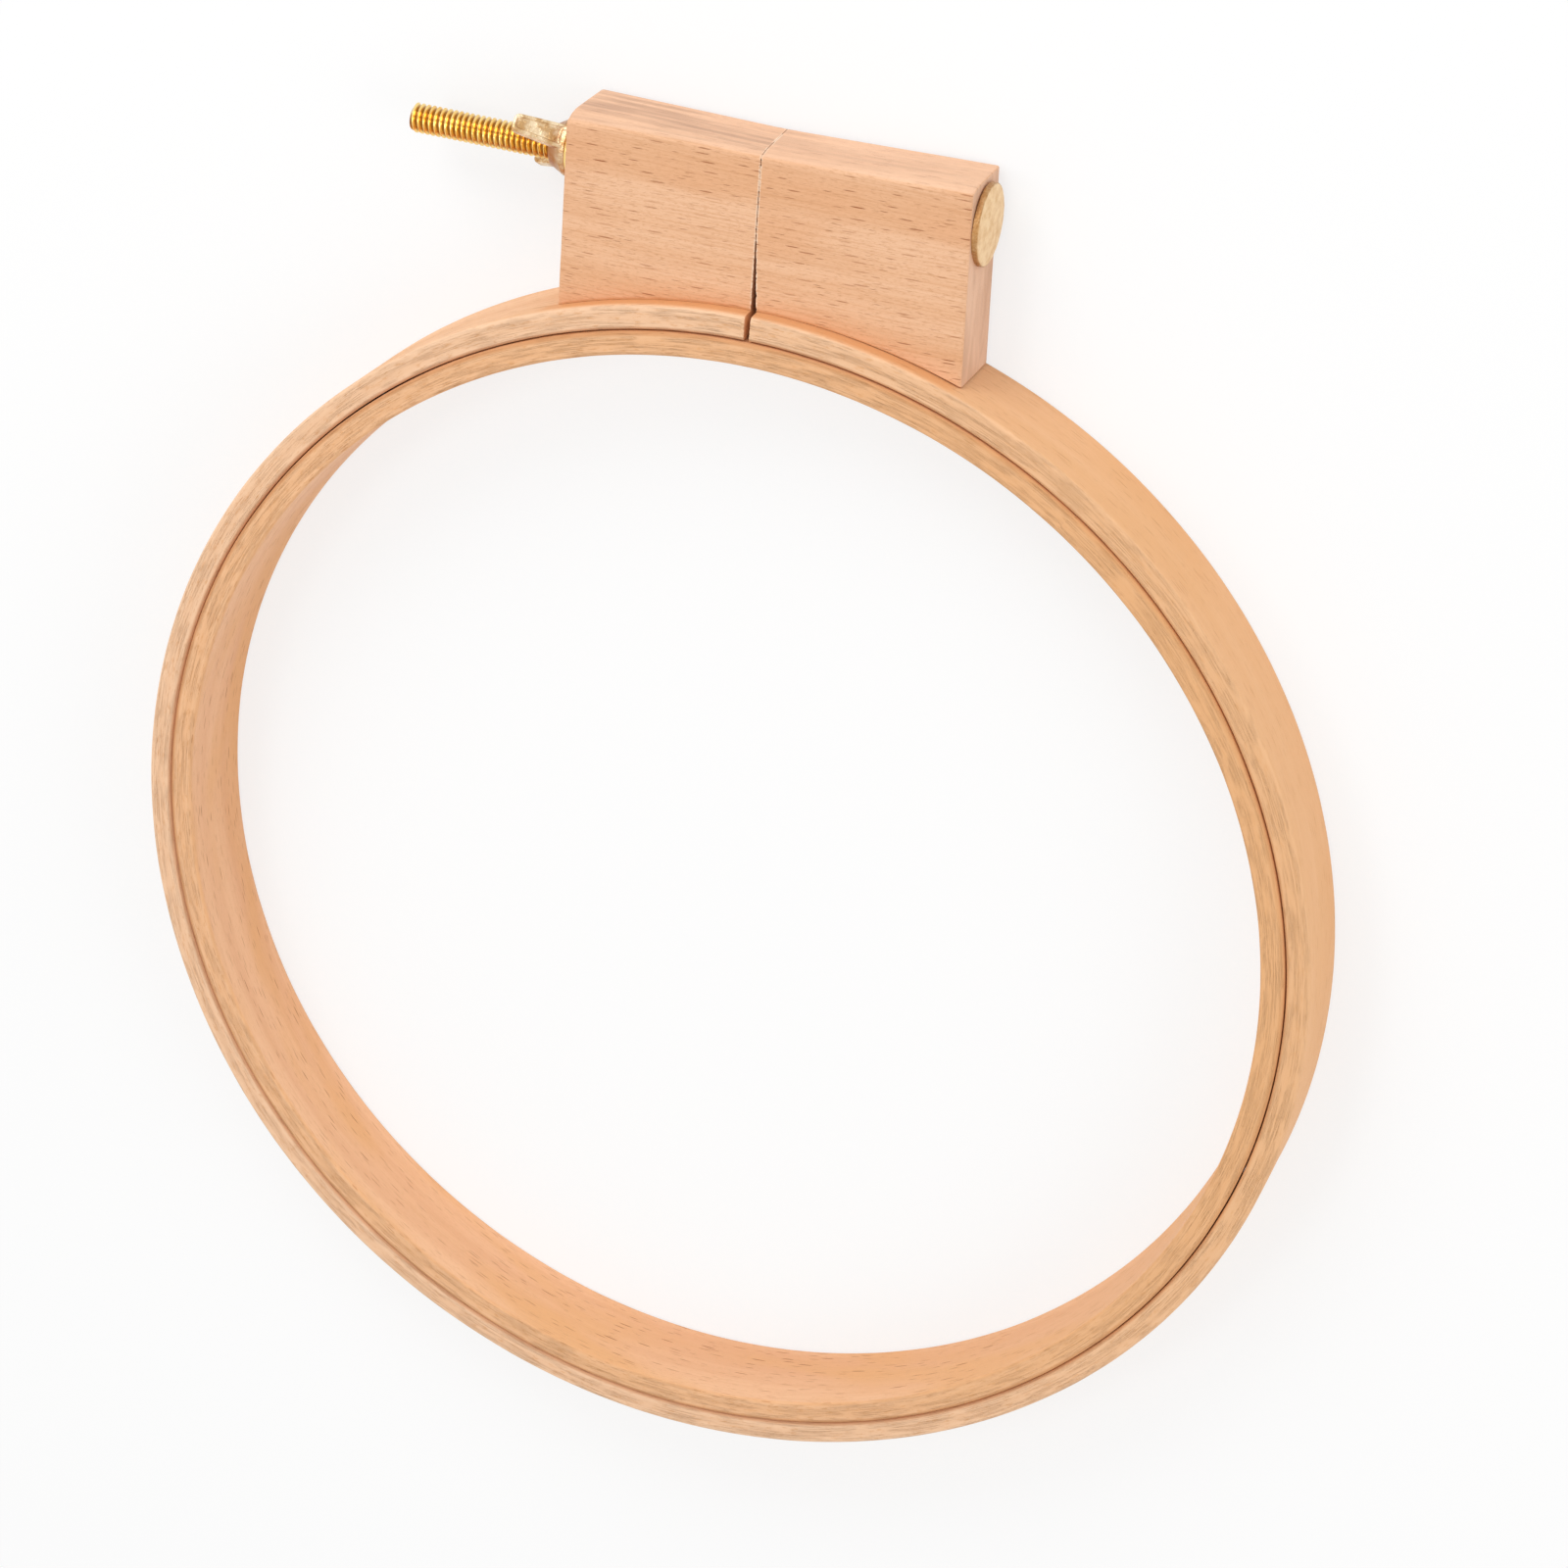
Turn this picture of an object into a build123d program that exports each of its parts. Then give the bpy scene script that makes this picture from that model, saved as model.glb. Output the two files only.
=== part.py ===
import os
from math import cos, radians, sin, sqrt

from build123d import *

# Everything is in millimetres. The hoop lies flat: +Z is its axis, towards the face that is worked on,
# +Y runs from its middle to the clamp and +X points to the head of the clamp bolt. The origin is on the
# hoop's axis, halfway through the depth of the inner ring.

# Rings
clear_opening = 254.0
inner_wall = 5.2
inner_depth = 23.8
ring_clearance = 0.4
outer_wall = 5.4
outer_depth = 23.4
ring_edge_round = 0.7

# Clamp block, glued to the outer ring and then sawn through together with it
block_height = 34.3
block_right_width = 46.3
block_left_width = 43.3
block_left_rise = 1.6
block_depth = 17.9
block_back_setback = 0.9
block_edge_round = 0.8
block_right_corner_round = 0.7
block_left_corner_round = 1.4
block_bed_stock = 4.0

# Saw cut: its faces meet at the top of the block and gape at the ring
kerf_meeting_depth = 16.8
kerf_mouth = 1.4

# Hairline between the two halves where they meet, in the saw cut and at the far end of the ring
meeting_gap = 0.04

# How far the left half swings open, in degrees, when the wing nut is let off
opening_angle = 1.0

# Clamp bolt, a quarter of an inch thick with twenty threads to the inch, and five inches long at a stretch
bolt_diameter = 6.35
bolt_pitch = 1.27
bolt_length = 128.2
bolt_thread_length = 64.7
bolt_tip_chamfer = 0.45
thread_crest_share = 1 / 8
thread_root_share = 1 / 4
thread_depth_share = 0.54
head_diameter = 17.5
head_rim = 1.5
head_dome = 0.4
head_edge_round = 0.4
head_margin = 0.75
neck_width = 6.6
neck_length = 3.2
neck_corner_round = 0.5

# Clearances of the bolt in the blocks
right_hole_clearance = 0.25
left_hole_clearance = 0.15
neck_clearance = 0.05

# Washer
washer_diameter = 13.0
washer_thickness = 1.2
washer_clearance = 0.3

# Wing nut: a low hub with two straps that stand up from it and lean outwards. Heights are above its base
# and distances out are from the bolt's axis.
nut_bore_clearance = 0.08
nut_base_diameter = 12.4
nut_base_height = 1.3
nut_top_diameter = 8.8
nut_hub_height = 4.6
nut_edge_round = 0.4
wing_angle = 52.0
wing_flare = 22.0
wing_foot_height = 0.7
wing_foot_out = 5.8
wing_length = 11.2
wing_foot_width = 5.4
wing_tip_width = 3.9
wing_thickness = 2.1
wing_corner_round = 1.2
wing_edge_round = 0.35
wing_border = 0.8
wing_recess = 0.4
wing_channel_round = 0.6

# One overrun for every cutting body
overrun = 5.0

# Worked out from the sizes above
inner_inside = clear_opening / 2
inner_outside = inner_inside + inner_wall
outer_inside = inner_outside + ring_clearance
outer_outside = outer_inside + outer_wall
back_z = -inner_depth / 2
block_top = outer_outside + block_height
block_back = back_z + block_back_setback
block_front = block_back + block_depth
bolt_radius = bolt_diameter / 2
bolt_y = block_top - head_diameter / 2 - head_margin
bolt_z = (block_back + block_front) / 2
nut_x = -block_left_width - washer_thickness


def ring(inside, wall, depth):
    # a flat band bent round the hoop's axis, its four long edges rounded
    section = Plane.XZ * RectangleRounded(wall, depth, ring_edge_round)
    return revolve(Pos(inside + wall / 2, 0, back_z + depth / 2) * section, Axis.Z)


def prism(points, low, high):
    # an upright body from an outline in plan
    outline = make_face(Polyline(*points, close=True))
    return extrude(Pos(0, 0, low) * outline, high - low, dir=(0, 0, 1))


def half(side):
    # all that lies on one side, right (1) or left (-1), of the saw cut and of the joint at the far end
    reach = outer_outside + overrun
    top = block_top + block_left_rise + overrun
    face = side * meeting_gap / 2
    edge = [(face, top)]
    if side > 0:
        # the right face of the cut leans away from the left one below the place where they meet
        meeting = block_top - kerf_meeting_depth
        mouth = face + kerf_mouth * meeting / (meeting - outer_inside)
        edge = edge + [(face, meeting), (mouth, 0), (face, 0)]
    corners = [(face, -reach), (side * reach, -reach), (side * reach, top)]
    return prism(edge + corners, back_z - overrun, back_z + inner_depth + overrun)


def rounded_blank(outline, bed, corner_round):
    # the block before it is bedded on the ring: its outer top corner is the one farthest from the middle
    blank = prism(outline, block_back, block_front)
    corner = blank.edges().filter_by(Axis.Z).sort_by_distance((0, 0, 0))[-1]
    blank = fillet(corner, corner_round)
    rims = ShapeList()
    for face in blank.faces().filter_by(Axis.Z):
        for edge in face.edges():
            # the sawn side stays sharp, and so does the side that is cut away for the ring
            middle = edge @ 0.5
            if abs(middle.X) > meeting_gap and middle.Y > bed + meeting_gap:
                rims.append(edge)
    return fillet(rims, block_edge_round)


def bolt_hole(radius):
    # right through both blocks
    length = block_right_width + block_left_width + 2 * overrun
    middle = (block_right_width - block_left_width) / 2
    return Pos(middle, bolt_y, bolt_z) * (Rot(0, 90, 0) * Cylinder(radius, length))


def neck_pocket():
    # square, open at the block's outer end
    width = neck_width + 2 * neck_clearance
    depth = neck_length + neck_clearance
    middle = block_right_width - depth + (depth + overrun) / 2
    return Pos(middle, bolt_y, bolt_z) * Box(depth + overrun, width, width)


def bedded_block(side, width, rise, corner_round):
    # the stock reaches inside the ring's outer face at the block's outer end, and the ring's curve is cut out
    bed = sqrt(outer_outside**2 - width**2) - block_bed_stock
    outline = [(0, bed), (side * width, bed), (side * width, block_top + rise), (0, block_top)]
    blank = rounded_blank(outline, bed, corner_round)
    return (blank - Cylinder(outer_outside, 2 * (inner_depth + overrun))) & half(side)


def clamp_block_right():
    body = bedded_block(1, block_right_width, 0, block_right_corner_round)
    return body - bolt_hole(bolt_radius + right_hole_clearance) - neck_pocket()


def clamp_block_left():
    # the hole is wide enough for the block to tilt about the bolt as the hoop opens
    swing = radians(opening_angle)
    drop = block_left_width * sin(swing) + (bolt_y + outer_outside) * (1 - cos(swing))
    body = bedded_block(-1, block_left_width, block_left_rise, block_left_corner_round)
    return body - bolt_hole(bolt_radius + drop + left_hole_clearance)


def on_bolt_axis(body, x):
    # a body made about its own X axis goes to its place along the bolt
    return Pos(x, bolt_y, bolt_z) * body


def bolt_head():
    # a flat disc with a slightly domed face, its rim rounded
    radius = head_diameter / 2
    dome_radius = (radius**2 + head_dome**2) / (2 * head_dome)
    top = head_rim + head_dome
    halfway = (top - dome_radius + sqrt(dome_radius**2 - (radius / 2) ** 2), radius / 2)
    outline = [
        Line((0, 0), (0, radius)),
        Line((0, radius), (head_rim, radius)),
        ThreePointArc((head_rim, radius), halfway, (top, 0)),
        Line((top, 0), (0, 0)),
    ]
    disc = revolve(make_face(Wire(outline)), Axis.X)
    return fillet(disc.edges().filter_by(GeomType.CIRCLE), head_edge_round)


def bolt_neck():
    neck = Pos(-neck_length / 2, 0, 0) * Box(neck_length, neck_width, neck_width)
    return fillet(neck.edges().filter_by(Axis.X), neck_corner_round)


def bolt_shank():
    # the outline runs from under the head to the tip, with a groove for every turn of the thread
    root = bolt_radius - bolt_pitch * thread_depth_share
    crest = bolt_pitch * thread_crest_share
    floor = bolt_pitch * thread_root_share
    flank = (bolt_pitch - crest - floor) / 2
    x = bolt_thread_length - bolt_length
    points = [(0, 0), (0, bolt_radius), (x, bolt_radius)]
    for turn in range(int((bolt_thread_length - bolt_tip_chamfer) / bolt_pitch)):
        points.append((x - flank, root))
        points.append((x - flank - floor, root))
        points.append((x - 2 * flank - floor, bolt_radius))
        points.append((x - bolt_pitch, bolt_radius))
        x = x - bolt_pitch
    points.append((bolt_tip_chamfer - bolt_length, bolt_radius))
    points.append((-bolt_length, bolt_radius - bolt_tip_chamfer))
    points.append((-bolt_length, 0))
    return revolve(make_face(Polyline(*points, close=True)), Axis.X)


def clamp_bolt():
    return on_bolt_axis(bolt_head() + bolt_neck() + bolt_shank(), block_right_width)


def washer():
    hole = bolt_radius + washer_clearance
    disc = Cylinder(washer_diameter / 2, washer_thickness) - Cylinder(hole, washer_thickness + overrun)
    return on_bolt_axis(Rot(0, 90, 0) * disc, nut_x + washer_thickness / 2)


def nut_hub():
    # a short drum that bears on the washer, and a cone on it
    base = nut_base_diameter / 2
    top = nut_top_diameter / 2
    points = [(0, 0), (0, base), (-nut_base_height, base), (-nut_hub_height, top), (-nut_hub_height, 0)]
    hub = revolve(make_face(Polyline(*points, close=True)), Axis.X)
    return fillet(hub.edges().filter_by(GeomType.CIRCLE), nut_edge_round)


def strap(trim, corner_round):
    # a wing seen from outside, narrower towards its rounded tip, and trimmed by so much all round but its foot
    foot = wing_foot_width / 2 - trim
    tip = wing_tip_width / 2 - trim
    length = wing_length - trim
    outline = make_face(Polyline((-foot, 0), (foot, 0), (tip, length), (-tip, length), close=True))
    return fillet(outline.vertices().group_by(Axis.Y)[-1], corner_round)


def wing():
    # the outer face is the drawing plane: the plate grows inwards from it and has a channel along it
    plate = extrude(strap(0, wing_corner_round), wing_thickness, dir=(0, 0, -1))
    plate = fillet(plate.faces().sort_by(Axis.Z)[-1].edges(), wing_edge_round)
    channel = extrude(Pos(0, 0, -wing_recess) * strap(wing_border, wing_channel_round), overrun, dir=(0, 0, 1))
    lean = radians(wing_flare)
    foot = (-wing_foot_height, wing_foot_out, 0)
    return Plane(origin=foot, x_dir=(0, 0, -1), z_dir=(sin(lean), cos(lean), 0)) * (plate - channel)


def wing_nut():
    wings = wing() + Rot(180, 0, 0) * wing()
    bore = Rot(0, 90, 0) * Cylinder(bolt_radius + nut_bore_clearance, 2 * (wing_length + overrun))
    return on_bolt_axis(Rot(wing_angle, 0, 0) * (nut_hub() + wings) - bore, nut_x)


def build():
    outer_ring = ring(outer_inside, outer_wall, outer_depth)
    return {
        "outer_ring_right": outer_ring & half(1),
        "outer_ring_left": outer_ring & half(-1),
        "inner_ring": ring(inner_inside, inner_wall, inner_depth),
        "clamp_block_right": clamp_block_right(),
        "clamp_block_left": clamp_block_left(),
        "clamp_bolt": clamp_bolt(),
        "washer": washer(),
        "wing_nut": wing_nut(),
    }


os.makedirs("parts", exist_ok=True)
for node, shape in build().items():
    export_step(shape, f"parts/{node}.step")
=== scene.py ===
from math import asin, cos, hypot, pi, radians, sin, sqrt

import bmesh
import bpy
from mathutils import Matrix, Vector, noise


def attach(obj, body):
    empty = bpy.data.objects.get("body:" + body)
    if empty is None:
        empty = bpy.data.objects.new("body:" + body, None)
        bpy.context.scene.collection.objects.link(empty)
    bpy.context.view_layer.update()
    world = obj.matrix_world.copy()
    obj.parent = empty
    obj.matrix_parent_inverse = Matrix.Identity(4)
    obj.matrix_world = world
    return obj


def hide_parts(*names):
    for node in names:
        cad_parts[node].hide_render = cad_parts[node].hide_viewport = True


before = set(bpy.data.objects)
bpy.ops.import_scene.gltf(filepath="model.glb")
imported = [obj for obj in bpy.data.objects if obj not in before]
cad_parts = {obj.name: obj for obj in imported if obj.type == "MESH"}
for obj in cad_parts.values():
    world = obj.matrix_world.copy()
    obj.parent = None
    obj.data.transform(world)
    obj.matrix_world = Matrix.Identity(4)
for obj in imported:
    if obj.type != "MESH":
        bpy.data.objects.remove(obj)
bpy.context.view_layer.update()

mm = 0.001

hoop = {                                        # the frame's own sizes, in millimetres
    "innerInside": 127.0, "innerOutside": 132.2, "innerDepth": 23.8,
    "outerInside": 132.6, "outerOutside": 138.0, "outerDepth": 23.4,
    "back": -11.9, "boltY": 162.8, "boltZ": -2.05,
}
cut = {                                         # the saw cut through the block and the outer ring
    "meeting": 155.5, "mouth": 1.4, "gap": 0.02, "farGap": 0.001, "slant": 0.05, "shift": -0.17,
    "ringSlant": 0.078, "ringShift": -0.35, "slantReach": 40.0,
    "chip": 0.22, "chipDepth": 0.8, "chipLength": 0.45, "fuzz": 0.06, "nearFace": 0.25,
}


class Value:                                    # one socket; the operators add Math nodes behind it
    def __init__(self, graph, socket):
        self.graph, self.socket = graph, socket

    def __add__(self, other):
        return self.graph.math("ADD", self, other)

    def __radd__(self, other):
        return self.graph.math("ADD", other, self)

    def __sub__(self, other):
        return self.graph.math("SUBTRACT", self, other)

    def __rsub__(self, other):
        return self.graph.math("SUBTRACT", other, self)

    def __mul__(self, other):
        return self.graph.math("MULTIPLY", self, other)

    def __rmul__(self, other):
        return self.graph.math("MULTIPLY", other, self)

    def __truediv__(self, other):
        return self.graph.math("DIVIDE", self, other)

    def __abs__(self):
        return self.graph.math("ABSOLUTE", self)

    def least(self, other):
        return self.graph.math("MINIMUM", self, other)

    def most(self, other):
        return self.graph.math("MAXIMUM", self, other)

    def step(self, low, high):                  # 0 at low, 1 at high, smooth between
        ends = {"Value": self, "From Min": low, "From Max": high}
        return self.graph.node("ShaderNodeMapRange", {"interpolation_type": "SMOOTHSTEP"}, ends)

    def ramp(self, low, high):                  # the same, straight between
        return self.graph.node("ShaderNodeMapRange", {}, {"Value": self, "From Min": low, "From Max": high})

    def also(self, name):                       # another output of the same node
        return Value(self.graph, self.socket.node.outputs[name])


class Graph:                                    # a material's or a geometry group's nodes
    def __init__(self, tree):
        self.tree = tree
        tree.nodes.clear()

    def node(self, kind, settings, sockets, out=0):
        made = self.tree.nodes.new(kind)
        for name, setting in settings.items():
            setattr(made, name, setting)
        for key, value in sockets.items():
            if isinstance(value, Value):
                self.tree.links.new(value.socket, made.inputs[key])
            else:
                made.inputs[key].default_value = value
        return Value(self, made.outputs[out]) if made.outputs else None

    def math(self, operation, *values):
        return self.node("ShaderNodeMath", {"operation": operation}, dict(enumerate(values)))

    def vector(self, x, y, z):
        return self.node("ShaderNodeCombineXYZ", {}, {"X": x, "Y": y, "Z": z})

    def parts(self, vector):
        split = self.node("ShaderNodeSeparateXYZ", {}, {0: vector})
        return [split.also(axis) for axis in "XYZ"]

    def vectorMath(self, operation, *values):
        return self.node("ShaderNodeVectorMath", {"operation": operation}, dict(enumerate(values)))

    def scaled(self, vector, factor):
        return self.node("ShaderNodeVectorMath", {"operation": "SCALE"}, {0: vector, "Scale": factor})

    def measure(self, operation, *vectors):     # vector maths that gives one number
        return self.node("ShaderNodeVectorMath", {"operation": operation}, dict(enumerate(vectors)), "Value")

    def noise(self, spot, detail=2.0, rough=0.5, warp=0.0, scale=1.0):
        sockets = {"Vector": spot, "Scale": scale, "Detail": detail, "Roughness": rough, "Distortion": warp}
        return self.node("ShaderNodeTexNoise", {}, sockets)

    def cloud(self, spot, cell, *look):         # noise whose blobs have the cell's size along each axis
        return self.noise(self.vector(*(along / size for along, size in zip(spot, cell))), *look)

    def mixColour(self, share, first, second):
        return self.node("ShaderNodeMix", {"data_type": "RGBA"}, {0: share, 6: first, 7: second}, 2)


def shade(red, green, blue):                    # a colour as a screen shows it, 0 to 255, made linear
    return [((v / 255 + 0.055) / 1.055) ** 2.4 if v > 10 else v / 3294.6 for v in (red, green, blue)] + [1.0]


def startFinish(name):
    material = bpy.data.materials.new(name)
    material.use_nodes = True
    graph = Graph(material.node_tree)
    place = graph.node("ShaderNodeTexCoord", {}, {}, "Object")
    here = [part * 1000 for part in graph.parts(place)]      # millimetres from here on
    return material, graph, here


def endFinish(graph, colour, roughness, height, bump, fixed):
    normal = graph.node("ShaderNodeBump", {}, {"Strength": 1.0, "Distance": bump, "Height": height})
    sockets = {"Base Color": colour, "Roughness": roughness, "Normal": normal, **fixed}
    surface = graph.node("ShaderNodeBsdfPrincipled", {}, sockets)
    graph.node("ShaderNodeOutputMaterial", {}, {"Surface": surface})


# A cloud is listed as its blobs' size along, across and through the grain in millimetres, then its detail
# and roughness. An edge is the pair of values between which a mark goes from none to full.
beech = {
    "wander": ((90, 40, 40), 1.0), "bands": ((240, 7, 7), 3.0), "fibres": ((26, 0.40, 0.40), 3.0, 0.6),
    "patches": ((45, 16, 16), 2.0), "grit": ((1.1, 0.28, 0.28), 2.0, 0.6),
    "bandEdge": (0.32, 0.68), "patchEdge": (0.42, 0.70), "fibreEdge": (0.42, 0.75), "gritEdge": (0.50, 0.72),
    "fleckBandEdge": (0.25, 0.65), "fleckPatchEdge": (0.30, 0.55), "poreShift": (40, 3),
    "bumpHeight": 0.00010, "gloss": {"Specular IOR Level": 0.35},
}
fleck = {"cell": (12.0, 0.90), "least": 0.07, "most": 0.18, "share": 0.85}
pore = {"cell": (4.4, 0.30), "least": 0.08, "most": 0.20, "share": 0.6}
tick = {"cell": (4.2, 0.45), "least": 0.10, "most": 0.32, "share": 0.5}
dash = {"softness": 0.06, "chanceEdge": 0.02, "faintest": 0.45}


def dashes(graph, along, across, kind):
    # the rays of beech show as short thin dashes: one to a cell, of random length, and some cells without
    spot = graph.vector(along / kind["cell"][0], across / kind["cell"][1], 0)
    sockets = {"Vector": spot, "Scale": 1.0, "Randomness": 1.0}
    cells = graph.node("ShaderNodeTexVoronoi", {"voronoi_dimensions": "2D"}, sockets)
    chance = graph.node("ShaderNodeSeparateColor", {}, {0: cells.also("Color")})
    reach = chance.also("Red") * (kind["most"] - kind["least"]) + kind["least"]
    missing = chance.also("Green").step(kind["share"] - dash["chanceEdge"], kind["share"] + dash["chanceEdge"])
    strength = chance.also("Blue") * (1 - dash["faintest"]) + dash["faintest"]
    return ((reach - cells) / dash["softness"]).ramp(0.0, 1.0) * ((1 - missing) * strength)


def beechColour(graph, grain, flat, tones, look):           # flat is the direction across the grain, in the face
    along, across, through = grain
    wander = graph.cloud(grain, *beech["wander"]) * 2 - 1
    drifting = [along, across + wander * look["wander"], through + wander * look["wander"]]
    bands = graph.cloud(drifting, *beech["bands"])
    fibres = graph.cloud(drifting, *beech["fibres"])
    patches = graph.cloud(grain, *beech["patches"])
    grit = graph.cloud(drifting, *beech["grit"])
    colour = graph.mixColour(bands.step(*beech["bandEdge"]), tones["pale"], tones["deep"])
    colour = graph.mixColour(patches.step(*beech["patchEdge"]) * look["patches"], colour, tones["warm"])
    colour = graph.mixColour(fibres.step(*beech["fibreEdge"]) * look["fibres"], colour, tones["fibre"])
    colour = graph.mixColour(grit.step(*beech["gritEdge"]) * look["grit"], colour, tones["fibre"])
    leaning = flat + wander * look["wander"] - along * look["fleckLean"]
    flecks = dashes(graph, along, leaning, fleck)
    flecks = flecks * (bands.step(*beech["fleckBandEdge"]) * 0.5 + 0.5)                 # they gather in places
    flecks = flecks * (patches.step(*beech["fleckPatchEdge"]) * 0.3 + 0.7)
    pores = dashes(graph, along + beech["poreShift"][0], leaning + beech["poreShift"][1], pore)
    colour = graph.mixColour(pores * look["pores"], colour, tones["fibre"])
    colour = graph.mixColour(flecks * look["flecks"], colour, tones["fleck"])
    height = fibres * 0.5 - flecks * 0.9 - pores * 0.35 + bands * 0.2 + grit * 0.2
    rough = 0.56 + fibres * 0.14 - bands * 0.06 + flecks * 0.12
    return colour, rough, height


def stripGrain(graph, here, start, slope):      # the grain of a bent strip runs round the hoop
    x, y, z = here
    angle = graph.math("ARCTAN2", x, 0 - y)
    turn = graph.math("WRAP", angle - start - z * slope, 2 * pi, 0.0)
    return turn, graph.measure("LENGTH", graph.vector(x, y, 0))


strip = {                                       # both rings are bent strips; lengths in millimetres
    "steps": 420, "roundSteps": 5, "sideCuts": 22, "edgeRound": 0.85,
    "waves": 0.07, "waveLength": 34.0, "ripple": 0.035, "rippleLength": 6.0,
    "innerProud": 0.22, "outerTight": 0.05, "squeeze": 0.16,    # the rings are pressed together, tightest at the back
    "innerSeed": 0.3, "outerSeed": 0.7,
}
# The rounded-edge tone is a painted highlight on the outer ring and painted shade on the inner ring, the groove tone is
# painted shade where the rings meet, and the glue tone is glue together with painted shade.
ringTones = {
    "pale": shade(246, 200, 158), "deep": shade(238, 186, 142), "warm": shade(231, 175, 120),
    "fibre": shade(214, 160, 114), "fleck": shade(164, 102, 60), "rim": shade(246, 203, 166),
    "streak": shade(222, 162, 110), "edge": shade(253, 220, 188), "tick": shade(190, 124, 74),
    "groove": shade(196, 128, 74), "glueAndShade": shade(222, 152, 92),
}
innerTones = {
    **ringTones, "pale": shade(241, 192, 151), "deep": shade(229, 175, 134), "rim": shade(242, 190, 144),
    "streak": shade(218, 154, 96), "edge": shade(224, 162, 104),
}
outerLook = {
    "start": pi, "slope": 0.0, "wander": 1.6, "patches": 0.60, "fibres": 0.34, "pores": 0.70, "flecks": 0.85,
    "grit": 0.20, "fleckLean": 0.012, "rim": 0.85, "streaks": 0.35, "ticks": 0.35, "tickAt": 137.0,
    "edge": 0.22, "groove": 132.6,
}
innerLook = {
    **outerLook, "start": 2.4, "slope": 0.012, "patches": 0.80, "fibres": 0.24, "pores": 0.85, "flecks": 0.90,
    "ticks": 0.60, "tickAt": 127.5, "edge": 0.50, "groove": 132.2,
}
rimMarks = {                                    # here a cloud is listed round, along and out from the hoop's axis
    "rimEdge": (1.0, 0.2), "wallEdge": (1.1, 0.15),
    "streaks": ((14, 3, 0.20), 4.0, 0.65), "streakEdge": (0.46, 0.64), "streakHeight": 0.8,
    "breaks": ((9, 3, 1.6), 3.0), "breakEdge": (0.34, 0.56),
    "mottle": ((2.4, 3, 0.55), 3.0, 0.65), "mottleEdge": (0.52, 0.70), "mottleShare": 0.65,
    "worn": ((5, 3, 0.9), 3.0, 0.6), "wornEdge": (0.30, 0.62),
    "layer": ((40, 1, 1), 1.0), "layerSway": 1.6, "layerEdge": (0.5, 1.5), "layerShare": 0.16,
    "tickReach": (0.5, 2.2), "fewTicks": 0.15, "grooveEdge": (0.35, 1.0), "grooveShare": 0.55,
    "warmFrom": (0, 150), "warmShare": 0.70, "warmTurn": 0.3,
}
creptGlueAndShade = {                                   # where it lies on the outer ring: from none to full, then back to none
    "z": (6.0, 7.0), "zEnd": (9.2, 10.6), "radius": (137.2, 137.8), "y": (120, 130), "xEnd": (44.5, 47.5), "share": 0.6,
}


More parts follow.
